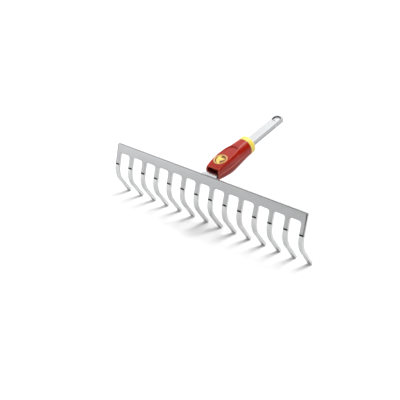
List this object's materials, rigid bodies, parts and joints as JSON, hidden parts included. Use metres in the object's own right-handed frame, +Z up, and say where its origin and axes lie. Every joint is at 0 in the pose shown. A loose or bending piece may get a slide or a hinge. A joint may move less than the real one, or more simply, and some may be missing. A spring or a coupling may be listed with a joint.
{
  "type": "soil rake head",
  "caption": "Straight-backed garden rake head: a steel comb of curved tines on a bent neck, a moulded grip housing and a flat folded tang with a latch hole for a click-in handle.",
  "frame": {"origin": "middle of the whole object's box, on the ground under the tine tips", "axes": "+X along the blade, +Y from the blade towards the tang end, +Z up; the tine tips stand on the ground and the tang rises at 20.6 degrees, as in use"},
  "size_m": [0.421, 0.198, 0.1668],
  "materials": {
    "blade_steel": "satin zinc-plated steel",
    "bright_steel": "bright zinc-plated steel",
    "weld_steel": "rippled weld metal under zinc",
    "screw_steel": "plain zinc-plated screws",
    "red_plastic": "glossy moulded plastic",
    "yellow_plastic": "semi-gloss moulded plastic",
    "badge_gold": "gold-coloured lacquered metal",
    "badge_dark": "dark glossy enamel",
    "badge_yellow": "raised yellow enamel"
  },
  "bodies": {
    "root": {"rake_blade": "blade_steel", "neck_strip": "bright_steel", "weld_bead_upper": "weld_steel", "weld_bead_lower": "weld_steel", "tang_channel": "bright_steel", "tang_pin": "screw_steel", "housing_upper": "red_plastic", "housing_lower": "red_plastic", "housing_screws": "screw_steel", "collar_ring": "yellow_plastic", "badge_rim": "badge_gold", "badge_disc": "badge_dark", "badge_leaf": "badge_yellow"}
  },
  "joints": []
}
